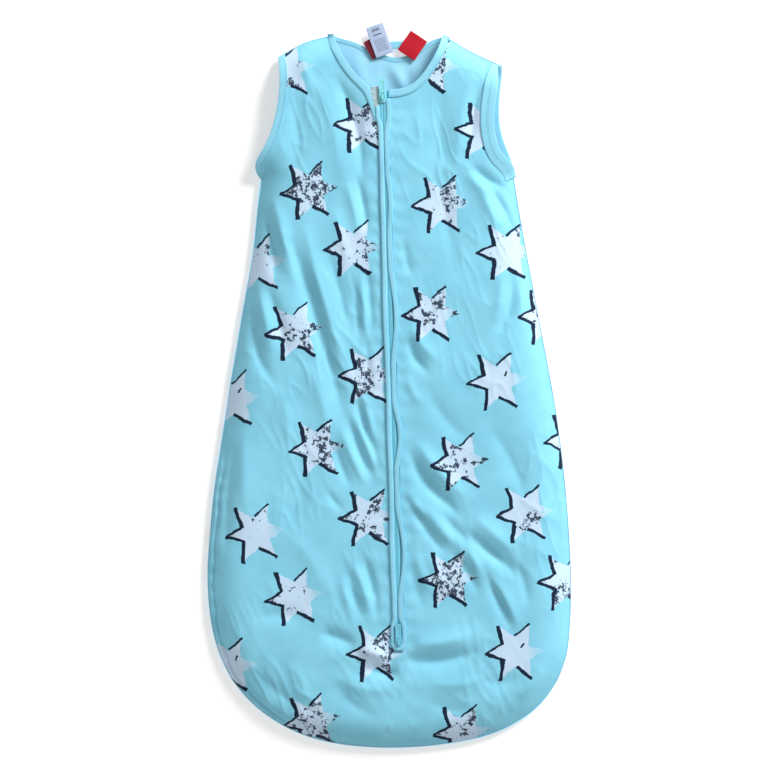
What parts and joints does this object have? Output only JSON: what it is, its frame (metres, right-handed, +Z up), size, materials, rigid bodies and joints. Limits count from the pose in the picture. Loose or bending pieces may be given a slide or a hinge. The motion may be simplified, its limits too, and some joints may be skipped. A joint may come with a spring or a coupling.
{
  "type": "baby sleeping bag",
  "caption": "Sleeveless lined cotton sleeping bag for a baby, lying on its back, with bound neck and armholes and a two-way zip down the front",
  "frame": {"origin": "on the outside of the back panel, halfway along the bag and on its middle line, where it lies on the surface below", "axes": "+X across the bag to the right as seen from the front, +Y along the bag to the neck, +Z up from the back to the front"},
  "size_m": [0.402, 0.8002, 0.0277],
  "materials": {
    "star_jersey": "soft matt knit with a star print",
    "lining_jersey": "soft matt knit",
    "rib_binding": "matt fine rib knit",
    "zip_tape": "matt woven tape",
    "zip_coil": "semi-gloss nylon",
    "zip_metal": "satin enamel",
    "red_label": "smooth folded satin tape",
    "dark_red_label": "smooth satin tape",
    "white_label": "smooth satin tape, printed"
  },
  "bodies": {
    "bag": {"front_shell": "star_jersey", "front_lining": "lining_jersey", "back_shell": "star_jersey", "back_lining": "lining_jersey", "neck_binding": "rib_binding", "armhole_binding_left": "rib_binding", "armhole_binding_right": "rib_binding", "side_and_hem_seam": "lining_jersey", "shoulder_seam_left": "lining_jersey", "shoulder_seam_right": "lining_jersey", "zip_opening_binding": "rib_binding", "zip_tape_left": "zip_tape", "zip_tape_right": "zip_tape", "zip_coil_left": "zip_coil", "zip_coil_right": "zip_coil", "zip_top_stops": "zip_coil", "zip_bottom_stop": "zip_coil", "zip_guard": "lining_jersey", "hanger_loop": "rib_binding"},
    "upper_slider": {"upper_slider": "zip_metal"},
    "upper_pull": {"upper_pull": "zip_metal"},
    "lower_slider": {"lower_slider": "zip_metal"},
    "lower_pull": {"lower_pull": "zip_metal"},
    "neck_labels": {"care_label": "white_label", "size_label": "dark_red_label"},
    "tab_label": {"tab_label": "red_label"}
  },
  "joints": [
    {"name": "upper_slider", "type": "slide", "parent": "bag", "child": "upper_slider", "axis": [0.0297, -0.9996, 0], "range_m": [0, 0.57]},
    {"name": "upper_pull", "type": "hinge", "parent": "upper_slider", "child": "upper_pull", "pos_m": [-0.00713, 0.32087, 0.0261], "axis": [0.9996, 0.0297, 0], "range_deg": [0, 180]},
    {"name": "lower_slider", "type": "slide", "parent": "bag", "child": "lower_slider", "axis": [-0.0297, 0.9996, 0], "range_m": [0, 0.57]},
    {"name": "lower_pull", "type": "hinge", "parent": "lower_slider", "child": "lower_pull", "pos_m": [0.01058, -0.27587, 0.0261], "axis": [0.9996, 0.0297, 0], "range_deg": [0, 180]},
    {"name": "neck_labels", "type": "hinge", "parent": "bag", "child": "neck_labels", "pos_m": [-0.004, 0.371, 0.0046], "axis": [0.9272, 0.3746, 0], "range_deg": [0, 150]},
    {"name": "tab_label", "type": "hinge", "parent": "bag", "child": "tab_label", "pos_m": [0.024, 0.369, 0.0048], "axis": [0.848, -0.5299, 0], "range_deg": [0, 110]}
  ]
}
